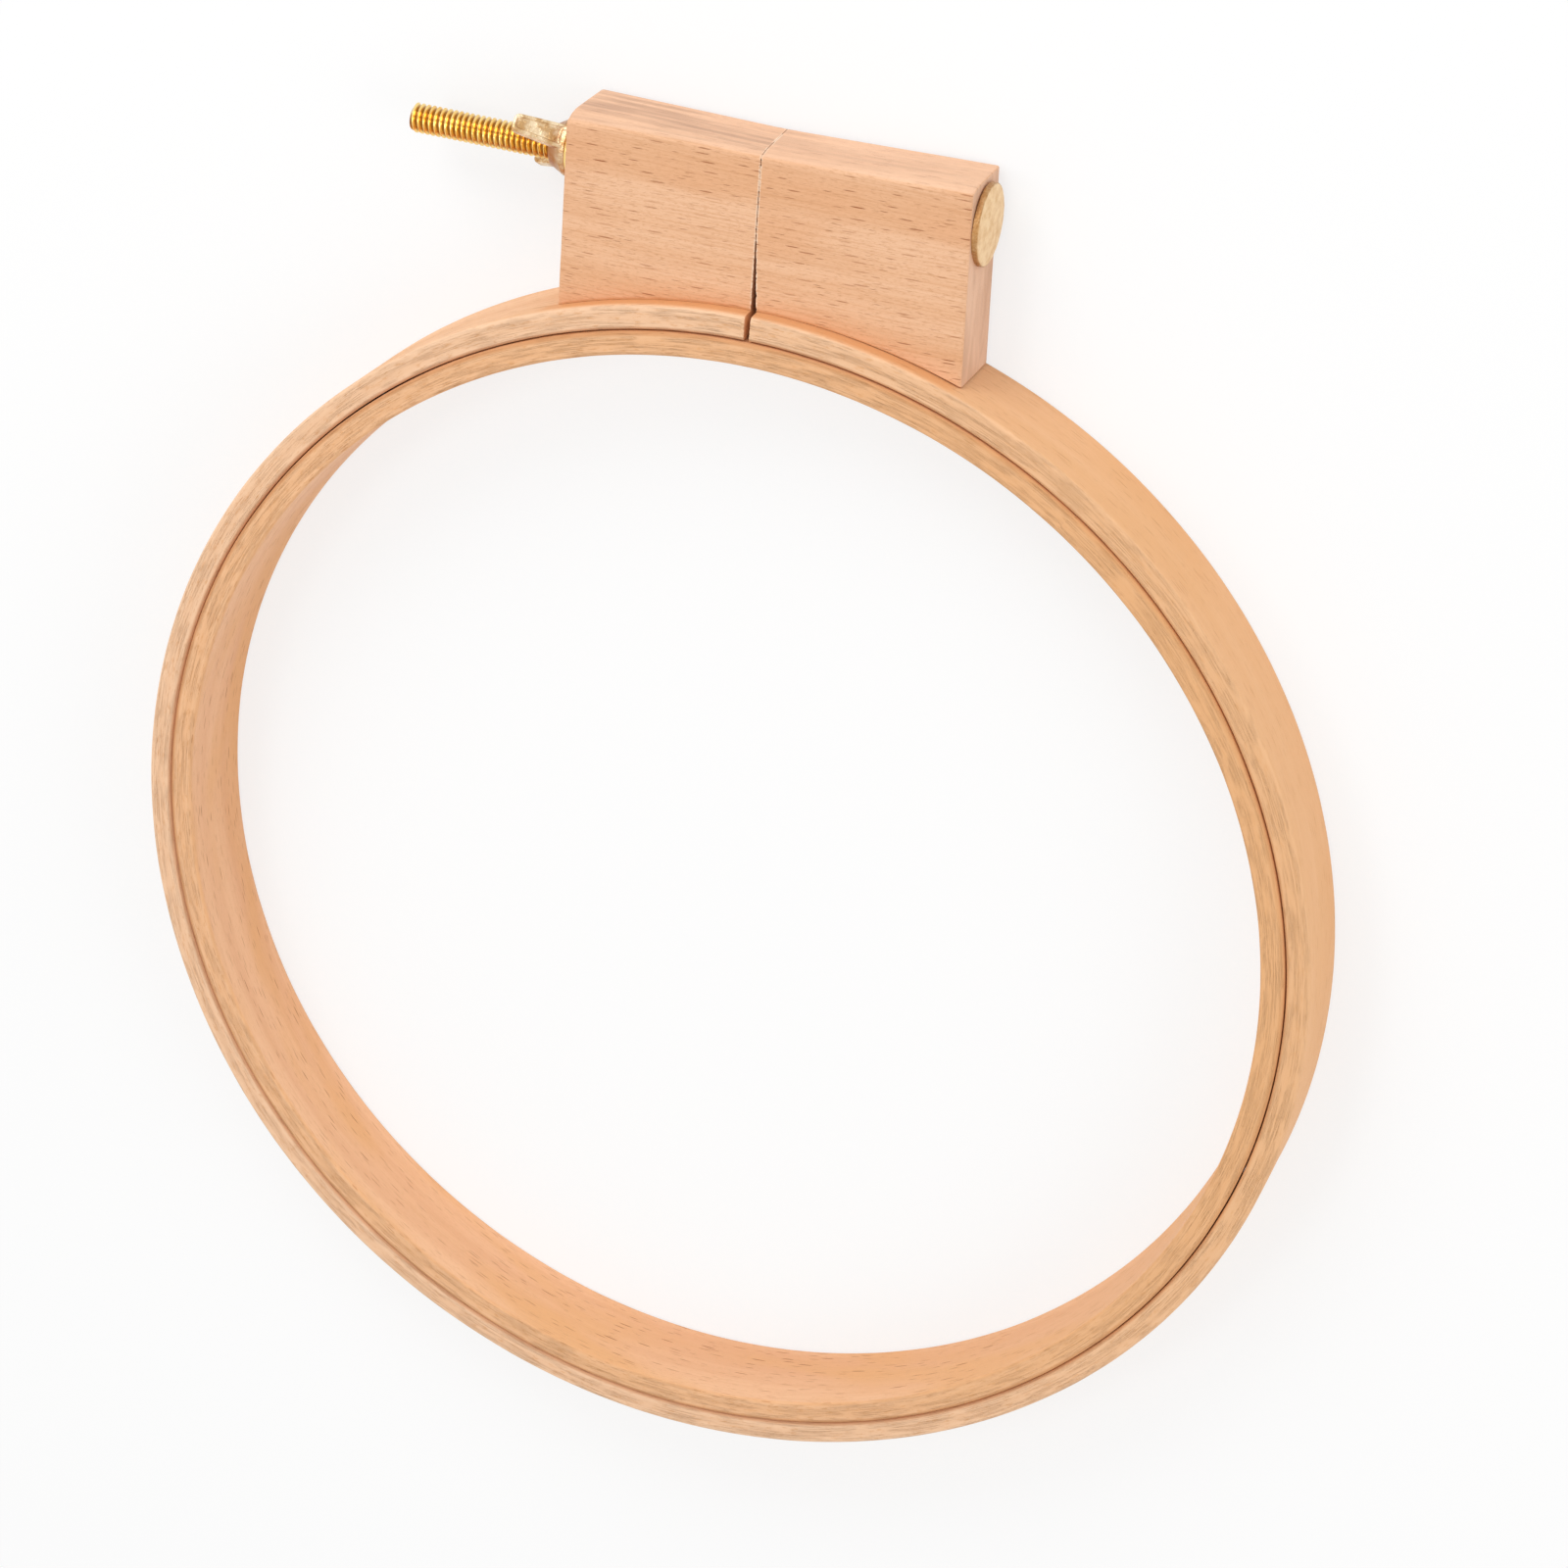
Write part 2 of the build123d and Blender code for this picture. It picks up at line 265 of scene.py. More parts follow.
def stripFinish(name, tones, look, inside, wall, low, depth):
    material, graph, here = startFinish(name)
    x, y, z = here
    turn, radius = stripGrain(graph, here, look["start"], look["slope"])
    fromMiddle = radius - (inside + wall / 2)
    colour, rough, height = beechColour(graph, [turn * (inside + wall / 2), z, radius], z, tones, look)
    besideWall, besideDepth = abs(fromMiddle), abs(z - (low + depth / 2))
    rim = besideDepth.step(*(depth / 2 - margin for margin in rimMarks["rimEdge"]))
    edge = besideWall.step(*(wall / 2 - margin for margin in rimMarks["wallEdge"]))
    edge = edge * besideDepth.step(*(depth / 2 - margin for margin in rimMarks["wallEdge"]))
    inRim = rim * (1 - edge)
    # the rims are sanded across the strip's layers, so their fibres show as fine streaks; their rounded edges are
    # painted in worn spots, lighter as a painted highlight on the outer ring and darker as painted shade on the inner
    # ring
    run = turn * inside
    around = [run, z, radius]
    streaks = graph.cloud(around, *rimMarks["streaks"]).step(*rimMarks["streakEdge"])
    streaks = streaks * graph.cloud(around, *rimMarks["breaks"]).step(*rimMarks["breakEdge"])
    mottle = graph.cloud(around, *rimMarks["mottle"]).step(*rimMarks["mottleEdge"])
    worn = graph.cloud(around, *rimMarks["worn"]).step(*rimMarks["wornEdge"])
    sway = (graph.cloud([run, 0, 0], *rimMarks["layer"]) - 0.5) * rimMarks["layerSway"]
    layer = abs(fromMiddle - sway).step(*rimMarks["layerEdge"])
    colour = graph.mixColour(rim * look["rim"], colour, tones["rim"])
    colour = graph.mixColour(inRim * (1 - layer) * rimMarks["layerShare"], colour, tones["streak"])
    colour = graph.mixColour(inRim * streaks * look["streaks"], colour, tones["streak"])
    colour = graph.mixColour(inRim * mottle * rimMarks["mottleShare"], colour, tones["streak"])
    # painted light on the rounded edges, in worn spots: a painted highlight on the outer ring, painted shade on the
    # inner ring
    colour = graph.mixColour(edge * look["edge"] * (worn * 0.6 + 0.4), colour, tones["edge"])
    nearTicks = 1 - abs(radius - look["tickAt"]).step(*rimMarks["tickReach"])           # they crowd along one edge
    nearTicks = nearTicks * (1 - rimMarks["fewTicks"]) + rimMarks["fewTicks"]
    ticks = dashes(graph, run, radius, tick)
    colour = graph.mixColour(rim * ticks * nearTicks * look["ticks"], colour, tones["tick"])
    # painted shade: the rims darken towards the groove where the two rings meet
    groove = 1 - abs(radius - look["groove"]).step(*rimMarks["grooveEdge"])
    colour = graph.mixColour(groove * rim * rimMarks["grooveShare"], colour, tones["groove"])
    # glue has crept out from under the block, on the outer wall just in front of it; the band is also painted shade in
    # the corner where this wall meets the block's front
    band = z.step(*creptGlueAndShade["z"]) * (1 - z.step(*creptGlueAndShade["zEnd"])) * radius.step(*creptGlueAndShade["radius"])
    band = band * y.step(*creptGlueAndShade["y"]) * (1 - abs(x).step(*creptGlueAndShade["xEnd"]))
    colour = graph.mixColour(band * creptGlueAndShade["share"], colour, tones["glueAndShade"])
    warmer = (x + rimMarks["warmTurn"] * y).step(*rimMarks["warmFrom"]) * rimMarks["warmShare"]
    colour = graph.mixColour(warmer, colour, tones["warm"])         # the strip is yellower on one side
    height = height - rim * streaks * rimMarks["streakHeight"]
    endFinish(graph, colour, rough, height, beech["bumpHeight"], beech["gloss"])
    return material


def addObject(name, data):
    made = bpy.data.objects.new(name, data)
    bpy.context.scene.collection.objects.link(made)
    return made


def keepPiece(mesh, name, body, node, angle=35):
    for polygon in mesh.polygons:
        polygon.use_smooth = True
    mesh.set_sharp_from_angle(angle=radians(angle))
    mesh.name = name
    piece = addObject(name, mesh)
    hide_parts(node)
    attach(piece, body)
    print(name, len(mesh.polygons), "faces")


def bakedMesh(piece):                           # the mesh that a piece's modifiers make; the piece itself goes
    mesh = bpy.data.meshes.new_from_object(piece.evaluated_get(bpy.context.evaluated_depsgraph_get()))
    bpy.data.objects.remove(piece)
    return mesh


def growMesh(tree, sizes, names):               # runs a geometry group on an empty mesh
    holder = addObject("holder", bpy.data.meshes.new("holder"))
    modifier = holder.modifiers.new("grow", "NODES")
    modifier.node_group = tree
    for name, value in sizes.items():
        modifier[names[name]] = value
    return bakedMesh(holder)


def startGroup(name, inputs):
    tree = bpy.data.node_groups.new(name, "GeometryNodeTree")
    tree.interface.new_socket(name="Geometry", in_out="OUTPUT", socket_type="NodeSocketGeometry")
    names = {}
    for inputName, kind in inputs.items():
        item = tree.interface.new_socket(name=inputName, in_out="INPUT", socket_type="NodeSocket" + kind)
        names[inputName] = item.identifier
    graph = Graph(tree)
    entry = graph.node("NodeGroupInput", {}, {})
    return tree, graph, entry, names


def endGroup(graph, geometry, material):
    geometry = graph.node("GeometryNodeRealizeInstances", {}, {"Geometry": geometry})
    geometry = graph.node("GeometryNodeSetMaterial", {}, {"Geometry": geometry, "Material": material})
    graph.node("NodeGroupOutput", {}, {"Geometry": geometry})


def stripTree():
    numbers = ("Radius", "Wall", "Depth", "Middle", "Round", "Start", "Sweep", "Waves", "Ripple", "Squeeze", "Seed")
    inputs = {**{name: "Float" for name in numbers}, "Steps": "Int", "Closed": "Bool", "Material": "Material"}
    tree, graph, entry, names = startGroup("bentStrip", inputs)
    line = graph.node("GeometryNodeCurveArc", {"mode": "RADIUS"}, {
        "Resolution": entry.also("Steps"), "Radius": entry.also("Radius"),
        "Start Angle": entry.also("Start"), "Sweep Angle": entry.also("Sweep")})
    line = graph.node("GeometryNodeSetSplineCyclic", {}, {0: line, "Cyclic": entry.also("Closed")})
    line = graph.node("GeometryNodeSetCurveNormal", {"mode": "Z_UP"}, {0: line})
    section = graph.node("GeometryNodeCurvePrimitiveQuadrilateral", {}, {
        "Width": entry.also("Wall"), "Height": entry.also("Depth")})
    section = graph.node("GeometryNodeFilletCurve", {"mode": "POLY"}, {
        0: section, "Count": strip["roundSteps"], "Radius": entry.also("Round")})
    point = graph.node("GeometryNodeInputIndex", {}, {})
    corner = strip["roundSteps"] + 1            # points at each corner; a straight side starts at its last one
    last = graph.math("MODULO", point, corner).ramp(corner - 1.5, corner - 1.0)
    section = graph.node("GeometryNodeSubdivideCurve", {}, {0: section, "Cuts": last * strip["sideCuts"]})
    band = graph.node("GeometryNodeCurveToMesh", {}, {0: line, 1: section, "Fill Caps": True})
    band = graph.node("GeometryNodeTransform", {}, {0: band, "Translation": graph.vector(0, 0, entry.also("Middle"))})
    place = graph.node("GeometryNodeInputPosition", {}, {})
    x, y, z = graph.parts(place)
    spot = graph.vectorMath("ADD", place, graph.vector(0, 0, entry.also("Seed")))
    wave = graph.noise(spot, 1.0, scale=1 / (strip["waveLength"] * mm))
    ripple = graph.noise(spot, 2.0, scale=1 / (strip["rippleLength"] * mm))
    push = (wave - 0.5) * 2 * entry.also("Waves") + (ripple - 0.5) * 2 * entry.also("Ripple")
    sunk = push - entry.also("Waves") - entry.also("Ripple") * 0.5      # never proud of the frame's own surface
    facing = graph.node("GeometryNodeInputNormal", {}, {})
    along = graph.vectorMath("NORMALIZE", graph.vector(0 - y, x, 0))
    turned = graph.scaled(along, graph.measure("DOT_PRODUCT", facing, along))
    outward = graph.vectorMath("NORMALIZE", graph.vectorMath("SUBTRACT", facing, turned))       # the ends stay flat
    depth = entry.also("Depth")
    share = ((entry.also("Middle") + depth / 2 - z) / depth).step(0.0, 1.0)
    away = graph.scaled(graph.vectorMath("NORMALIZE", graph.vector(x, y, 0)), entry.also("Squeeze") * share)
    offset = graph.vectorMath("ADD", graph.scaled(outward, sunk), away)
    band = graph.node("GeometryNodeSetPosition", {}, {"Geometry": band, "Offset": offset})
    endGroup(graph, band, entry.also("Material"))
    return tree, names


bentStrip, stripNames = stripTree()


def stripMesh(inside, wall, depth, start, sweep, closed, squeeze, seed, material):
    steps = strip["steps"] if closed else int(strip["steps"] * sweep / (2 * pi))
    return growMesh(bentStrip, {
        "Radius": (inside + wall / 2) * mm, "Wall": wall * mm, "Depth": depth * mm,
        "Middle": (hoop["back"] + depth / 2) * mm, "Round": strip["edgeRound"] * mm,
        "Start": start, "Sweep": sweep * (1 - 1 / steps) if closed else sweep, "Steps": steps, "Closed": closed,
        "Waves": strip["waves"] * mm, "Ripple": strip["ripple"] * mm, "Squeeze": squeeze * mm,
        "Seed": seed, "Material": material,
    }, stripNames)


def cutFace(side, y):                           # where the cut's wall stands at that height
    if side < 0:
        return -cut["gap"]
    share = max(0.0, (cut["meeting"] - y) / (cut["meeting"] - hoop["outerInside"]))
    return cut["gap"] + cut["mouth"] * share


def cutSlant(x, z, slant, shift):               # the saw leaned, so the cut runs off to one side with depth
    return (slant * (z - hoop["boltZ"]) + shift) * max(0.0, 1 - abs(x) / cut["slantReach"])


def chipAt(y, side, face):                      # how far the torn edge is eaten back
    rough = noise.noise(Vector((y / cut["chipLength"], side * 7.3, face * 3.1)))
    fine = noise.noise(Vector((y / cut["chipLength"] * 3.1, side * 2.3, face * 9.7)))
    return cut["chip"] * max(0.0, rough * 1.3 + fine * 0.7)


def slantStripEnd(mesh, side):                  # brings the strip's sawn end to the slanted cut, and tears its edges
    front, back = hoop["back"] + hoop["outerDepth"], hoop["back"]
    for vertex in mesh.vertices:
        x, y, z = vertex.co / mm
        if y < 0 or abs(x) > cut["slantReach"]:
            continue
        radius = hypot(x, y)
        shift = cutSlant(x, z, cut["ringSlant"], cut["ringShift"])
        if abs(x - cutFace(side, y)) < cut["nearFace"]:
            near = max(0.0, 1 - min(front - z, z - back) / cut["chipDepth"])
            fuzz = abs(noise.noise(Vector((x, y, z)) * 1.7)) * cut["fuzz"]
            shift = shift + side * (chipAt(radius + z, side, 1) * 0.5 * near + fuzz)
        turn = -shift / radius
        vertex.co = Vector((x * cos(turn) - y * sin(turn), x * sin(turn) + y * cos(turn), z)) * mm


innerWall = hoop["innerOutside"] - hoop["innerInside"]
outerWall = hoop["outerOutside"] - hoop["outerInside"]
innerBeech = stripFinish("innerBeech", innerTones, innerLook, hoop["innerInside"], innerWall, hoop["back"],
                         hoop["innerDepth"])
outerBeech = stripFinish("outerBeech", ringTones, outerLook, hoop["outerInside"], outerWall, hoop["back"],
                         hoop["outerDepth"])

mesh = stripMesh(hoop["innerInside"], innerWall + strip["innerProud"], hoop["innerDepth"], 0.0, 2 * pi, True, 0.0,
                 strip["innerSeed"], innerBeech)
keepPiece(mesh, "innerRing", "inner_ring", "inner_ring")

ringHalves = {
    1: {"name": "outerRingRight", "body": "right_half", "node": "outer_ring_right"},
    -1: {"name": "outerRingLeft", "body": "left_half", "node": "outer_ring_left"},
}
middleRadius = (hoop["outerInside"] + hoop["outerOutside"]) / 2
for side, half in ringHalves.items():
    lean = asin(cutFace(side, middleRadius) / middleRadius)             # how far the cut is from the top of the hoop
    hair = side * cut["farGap"] / middleRadius
    if side > 0:
        start, sweep = -pi / 2 + hair, pi - hair - lean
    else:
        start, sweep = pi / 2 - lean, pi + hair + lean
    mesh = stripMesh(hoop["outerInside"] - strip["outerTight"], outerWall + strip["outerTight"], hoop["outerDepth"],
                     start, sweep, False, -strip["squeeze"], strip["outerSeed"], outerBeech)
    slantStripEnd(mesh, side)
    keepPiece(mesh, half["name"], half["body"], half["node"])


block = {
    "back": -11.0, "front": 6.9, "top": 172.3, "edgeRound": 0.8, "roundSteps": 6, "tilt": 0.7,
    "kerfPoints": 150, "bedPoints": 30, "endPoints": 26, "cornerPoints": 9, "topPoints": 30, "layers": 9,
    "shelf": 0.25, "sunk": 0.05, "sandedFrom": 0.72, "sandedDown": 6, "sanded": 0.5,
    "waves": 0.07, "waveLength": 17.0, "wavesFromX": 2, "wavesFromY": 141,
}
halves = {                                      # a hole's first and last are along the bolt, its reach is its radius
    1: {"name": "clampBlockRight", "node": "clamp_block_right", "body": "right_half",
        "width": 46.3, "rise": 0.3, "corner": 0.6, "lean": 0.9, "softened": 0.3, "skew": 0.012,
        "holes": [{"reach": 3.425, "first": -3, "last": 60, "square": False},
                  {"reach": 3.35, "first": 43.05, "last": 60, "square": True}],
        "look": {"gapes": 1.0, "worn": 0.45, "shift": 0.0}},
    -1: {"name": "clampBlockLeft", "node": "clamp_block_left", "body": "left_half",
         "width": 43.3, "rise": 1.6, "corner": 1.3, "lean": 0.0, "softened": 1.5, "skew": 0.0,
         "holes": [{"reach": 4.15, "first": -60, "last": 3, "square": False}],
         "look": {"gapes": 0.0, "worn": 1.0, "shift": 57.0}},
}
# The top tone is a painted highlight on the block's top face, the crack tone is a painted shadow line along the cut,
# and the glue tone is glue together with painted shade in the crease on the ring.
blockTones = {
    "pale": shade(240, 192, 154), "deep": shade(231, 178, 136), "warm": shade(230, 172, 128),
    "fibre": shade(210, 153, 108), "fleck": shade(168, 98, 56), "end": shade(232, 189, 158),
    "endDark": shade(213, 169, 138), "top": shade(248, 208, 178), "sawn": shade(196, 146, 106),
    "cutShadow": shade(140, 84, 48), "splinter": shade(254, 230, 204), "glueAndShade": shade(206, 138, 84),
    "dull": shade(198, 156, 128),
}
blockLook = {
    "wander": 2.2, "patches": 0.65, "fibres": 0.60, "pores": 0.95, "flecks": 1.0, "grit": 0.50, "fleckLean": 0.0,
}
blockMarks = {                                  # clouds along x, y and z
    "endEdge": (0.75, 0.95), "topEdge": (0.55, 0.95), "lyingEdge": (0.4, 0.7), "grainSlope": 0.02,
    "bandCell": (20, 16, 12, 5.0, 34), "bandDetail": (2.0, 0.5, 0.6), "bandEdge": (0.32, 0.70),
    "dots": ((1, 0.55, 0.34), 3.0, 0.7), "dotEdge": (0.52, 0.74), "dotShare": 0.28,
    "wear": ((30, 8, 1.2), 3.0, 0.6), "wearPlace": ((26, 8, 7), 2.0), "wearEdge": (0.14, 0.46), "wearShift": 0.45,
    "topHighlightShare": 0.45, "saw": ((4, 0.5, 5), 3.0, 0.6), "sawEdge": (0.3, 0.7), "wallEnd": (2.6, 4.0),
    "torn": ((1.2, 0.5, 2), 2.0), "tornEdge": (0.34, 0.60), "tornReach": (0.16, 0.46),
    "open": ((1, 1.6, 3), 2.0), "openEdge": (0.44, 0.54), "openReach": (0.05, 0.16), "openShare": 0.85,
    "blot": ((3, 3, 3), 2.0), "glueReach": (0.05, 0.55),
}


def blockFinish(name, tones, look):
    material, graph, here = startFinish(name)
    x, y, z = here
    marks = blockMarks
    facing = graph.node("ShaderNodeNewGeometry", {}, {}, "Normal")
    settings = {"vector_type": "NORMAL", "convert_from": "WORLD", "convert_to": "OBJECT"}
    facing = graph.parts(graph.node("ShaderNodeVectorTransform", settings, {0: facing}))
    end = abs(facing[0]).step(*marks["endEdge"])
    top = facing[1].step(*marks["topEdge"])
    lying = abs(facing[2]).step(*marks["lyingEdge"])
    grain = [x + look["shift"], y + x * marks["grainSlope"], z]
    colour, rough, height = beechColour(graph, grain, y * lying + z * (1 - lying), tones, look)
    # end grain: soft upright bands with fine dots
    alongX, alongY, acrossY, alongZ, acrossZ = marks["bandCell"]
    spot = graph.vector(x / alongX, y / alongY + z / acrossY, z / alongZ - y / acrossZ)
    bands = graph.noise(spot, *marks["bandDetail"])
    dots = graph.cloud(here, *marks["dots"])
    endColour = graph.mixColour(bands.step(*marks["bandEdge"]), tones["end"], tones["endDark"])
    endColour = graph.mixColour(dots.step(*marks["dotEdge"]) * marks["dotShare"], endColour, tones["fibre"])
    spot = [x + look["shift"] * marks["wearShift"], y, z]
    wear = graph.cloud(spot, *marks["wear"]) * graph.cloud(spot, *marks["wearPlace"])
    # painted highlight: the block's top face is made paler, for the light falling on it
    colour = graph.mixColour(top * marks["topHighlightShare"], colour, tones["top"])
    colour = graph.mixColour(top * wear.step(*marks["wearEdge"]) * look["worn"], colour, tones["dull"])
    colour = graph.mixColour(end, colour, endColour)
    # the saw cut: darker rough walls, with pale torn fibres along its edges and a painted shadow line where it opens
    share = ((cut["meeting"] - y) / (cut["meeting"] - hoop["outerInside"])).most(0.0)
    gape = share * cut["mouth"] * look["gapes"]
    fromCut = abs(x - gape - cut["shift"] - (z - hoop["boltZ"]) * cut["slant"])
    nearCut = 1 - fromCut.step(*marks["tornReach"])
    saw = graph.cloud(here, *marks["saw"])
    wall = end * (1 - abs(x).step(*marks["wallEnd"]))
    colour = graph.mixColour(wall * (saw.step(*marks["sawEdge"]) * 0.6 + 0.3), colour, tones["sawn"])
    torn = graph.cloud(here, *marks["torn"])
    splinters = nearCut * (1 - end) * (torn.step(*marks["tornEdge"]) * 0.6 + 0.1)
    colour = graph.mixColour(splinters, colour, tones["splinter"])
    # painted shadow: a dark broken line along the cut on the front and top, for the shade in the hairline gap
    open = graph.cloud([3, y, z], *marks["open"]).step(*marks["openEdge"])
    cutShadow = (1 - fromCut.step(*marks["openReach"])) * (1 - end) * open * marks["openShare"]
    colour = graph.mixColour(cutShadow, colour, tones["cutShadow"])
    # a line of glue, with painted shade in the crease, where the block sits on the ring
    fromRing = graph.measure("LENGTH", graph.vector(x, y, 0)) - hoop["outerOutside"]
    blot = graph.cloud(here, *marks["blot"])
    glueAndShade = (1 - fromRing.step(*marks["glueReach"])) * (blot * 0.6 + 0.35)
    colour = graph.mixColour(glueAndShade, colour, tones["glueAndShade"])
    height = height + wall * saw * 2 + nearCut * torn * 0.6
    endFinish(graph, colour, rough, height, beech["bumpHeight"], beech["gloss"])
    return material


def spread(first, last, count):                 # evenly spaced numbers, without the last
    return [first + (last - first) * i / count for i in range(count)]


def blockOutline(side, half, inset, shelf, z, chips):
    # round the half: down the saw cut, out along the ring, up the outer end, round the corner and back along the top
    width = half["width"] - inset - shelf
    top = block["top"] - inset - shelf
    bed = hoop["outerOutside"] - block["sunk"] + shelf
    radius = max(half["corner"] - inset - shelf, 0.2)
    rise = half["rise"] / half["width"]
    shoulder = top + rise * (width - radius) - radius
    inner = cutFace(side, bed) * side
    points = []
    for y in spread(top, sqrt(bed**2 - inner**2), block["kerfPoints"]):
        x = cutFace(side, y) * side + shelf
        if chips > 0:
            x = x + chipAt(y, side, 0 if z > 0 else 1) * chips
        points.append((x, y))
    for x in spread(inner + shelf, width, block["bedPoints"]):
        points.append((x, sqrt(bed**2 - x**2)))
    for y in spread(sqrt(bed**2 - width**2), shoulder, block["endPoints"]):
        points.append((width, y))
    for angle in spread(0, pi / 2, block["cornerPoints"]):
        points.append((width - radius + radius * cos(angle), shoulder + radius * sin(angle)))
    for x in spread(width - radius, cutFace(side, top) * side + shelf, block["topPoints"]):
        points.append((x, top + rise * x))
    return [(side * x, y, z) for x, y in points]


def bendBlock(half, x, y, z):                   # the tilt, lean and sanding that keep the two halves from being alike
    tall = block["top"] - hoop["outerOutside"]
    share = min(1.0, abs(x) / half["width"])
    height = max(0.0, (y - hoop["outerOutside"]) / tall)
    across = (z - block["back"]) / (block["front"] - block["back"])
    nearTop = max(0.0, 1 - (block["top"] + half["rise"] * share - y) / block["sandedDown"])
    front = max(0.0, (across - block["sandedFrom"]) / (1 - block["sandedFrom"])) ** 2
    sanded = front * (block["sanded"] + half["softened"] * share ** 2) * nearTop
    lean = half["lean"] * (hoop["boltY"] - y) / tall + half["skew"] * (z - hoop["boltZ"])
    x = x + cutSlant(x, z, cut["slant"], cut["shift"]) + lean * share
    return x, y - block["tilt"] * across * height - sanded, z


def meshFrom(build, name, *materials):
    mesh = bpy.data.meshes.new(name)
    build.to_mesh(mesh)
    build.free()
    for material in materials:
        mesh.materials.append(material)
    return mesh


def blockMesh(side, half, material):
    steps, rounding, back, front = block["roundSteps"], block["edgeRound"], block["back"], block["front"]
    layers = [(rounding, block["shelf"], back)]                 # inset, shelf and height
    for i in range(steps + 1):
        angle = pi / 2 * i / steps
        layers.append((rounding * (1 - sin(angle)), 0.0, back + rounding * (1 - cos(angle))))
    mirrored = [(inset, shelf, front - (z - back)) for inset, shelf, z in reversed(layers)]
    middle = [(0.0, 0.0, z) for z in spread(back + rounding, front - rounding, block["layers"])][1:]
    build = bmesh.new()
    loops = []
    for inset, shelf, z in layers + middle + mirrored:
        near = max(0.0, 1 - min(z - back, front - z) / cut["chipDepth"])
        outline = blockOutline(side, half, inset, shelf, z, near)
        loops.append([build.verts.new(Vector(bendBlock(half, *point)) * mm) for point in outline])
    for lower, upper in zip(loops, loops[1:]):
        for i in range(len(lower)):
            build.faces.new((lower[i - 1], lower[i], upper[i], upper[i - 1]))
    build.faces.new(loops[0])
    build.faces.new(loops[-1])
    bmesh.ops.recalc_face_normals(build, faces=build.faces)
    for vertex in build.verts:                  # hand sanding leaves the faces a little uneven
        if vertex.co.x * side > block["wavesFromX"] * mm and vertex.co.y > block["wavesFromY"] * mm:
            wave = noise.noise(vertex.co / (block["waveLength"] * mm))
            vertex.co = vertex.co + vertex.normal * (wave - 1) * block["waves"] * 0.5 * mm
    return meshFrom(build, half["name"], material)


def onBoltAxis(build, x):                       # from millimetres about the origin to its place on the bolt's axis
    place = Matrix.Translation((x, hoop["boltY"], hoop["boltZ"]))
    bmesh.ops.transform(build, matrix=place, verts=build.verts)
    bmesh.ops.transform(build, matrix=Matrix.Scale(mm, 4), verts=build.verts)
    return build


def holeMesh(reach, first, last, square):       # a cutting body along the bolt's axis
    build = bmesh.new()
    if square:
        size = Matrix.Diagonal((last - first, reach * 2, reach * 2, 1))
        bmesh.ops.create_cube(build, size=1.0, matrix=size)
    else:
        bmesh.ops.create_cone(build, cap_ends=True, segments=64, radius1=reach, radius2=reach, depth=last - first,
                              matrix=Matrix.Rotation(pi / 2, 4, "Y"))
    return meshFrom(onBoltAxis(build, (first + last) / 2), "hole")


def drilled(mesh, holes):
    piece = addObject("drilled", mesh)
    tools = [addObject("tool", holeMesh(**hole)) for hole in holes]
    for tool in tools:
        modifier = piece.modifiers.new("hole", "BOOLEAN")
        modifier.object = tool
        modifier.solver = "EXACT"
    made = bakedMesh(piece)
    for tool in tools:
        bpy.data.objects.remove(tool)
    return made


for side, half in halves.items():
    finish = blockFinish(half["name"] + "Beech", blockTones, {**blockLook, **half["look"]})
    mesh = drilled(blockMesh(side, half, finish), half["holes"])
    keepPiece(mesh, half["name"], half["body"], half["node"], 30)


bow = {"sag": -0.3, "bend": 0.02, "from": -48.0}            # the bolt hangs low, and the nut's pull has bent it
boltBrass = {                                   # low and rim are pairs of distances from the bolt's axis; inside low goes painted shade, and on the head's rim a painted reflection
    "metal": 1.0, "bowed": 1.0, "bright": shade(255, 225, 150), "dull": shade(249, 200, 108),
    "cloud": (5.0, 5.0, 5.0), "grit": (0.5, 0.5, 0.5), "speck": shade(170, 110, 30), "specks": 0.15,
    "rough": 0.12, "roughCloud": 0.06, "roughGrit": 0.08, "waves": 0.4, "gritHeight": 0.3, "bump": 0.00003,
    "low": (2.45, 2.98), "shadeNearAxis": 0.9, "shadeNearAxisColour": shade(154, 92, 24),
    "rim": (5.0, 6.0), "rimShare": 0.0, "rimReflection": shade(240, 200, 110),
}
headBrass = {
    "metal": 0.6, "bowed": 1.0, "bright": shade(244, 212, 166), "dull": shade(228, 188, 136),
    "cloud": (2.4, 2.4, 2.4), "grit": (0.40, 0.40, 0.40), "speck": shade(200, 160, 96), "specks": 0.20,
    "rough": 0.34, "roughCloud": 0.14, "roughGrit": 0.14, "waves": 1.0, "gritHeight": 1.1, "bump": 0.00012,
    "low": (0.0, 0.1), "shadeNearAxis": 0.0, "shadeNearAxisColour": shade(170, 120, 50),
    "rim": (8.3, 8.7), "rimShare": 0.95, "rimReflection": shade(160, 102, 34),
}
nutBrass = {
    "metal": 0.85, "bowed": 0.0, "bright": shade(246, 223, 186), "dull": shade(198, 156, 104),
    "cloud": (2.6, 2.6, 2.6), "grit": (0.4, 0.4, 0.4), "speck": shade(170, 128, 62), "specks": 0.2,
    "rough": 0.10, "roughCloud": 0.12, "roughGrit": 0.10, "waves": 1.8, "gritHeight": 0.4, "bump": 0.00018,
    "low": (5.0, 7.0), "shadeNearAxis": 0.85, "shadeNearAxisColour": shade(168, 94, 22),
    "rim": (20.0, 21.0), "rimShare": 0.0, "rimReflection": shade(226, 176, 84),
}
brassMarks = {"speckCell": 0.9, "speckEdge": (0.05, 0.22), "dullEdge": (0.35, 0.68), "roughLow": 0.1, "roughRim": 0.12}


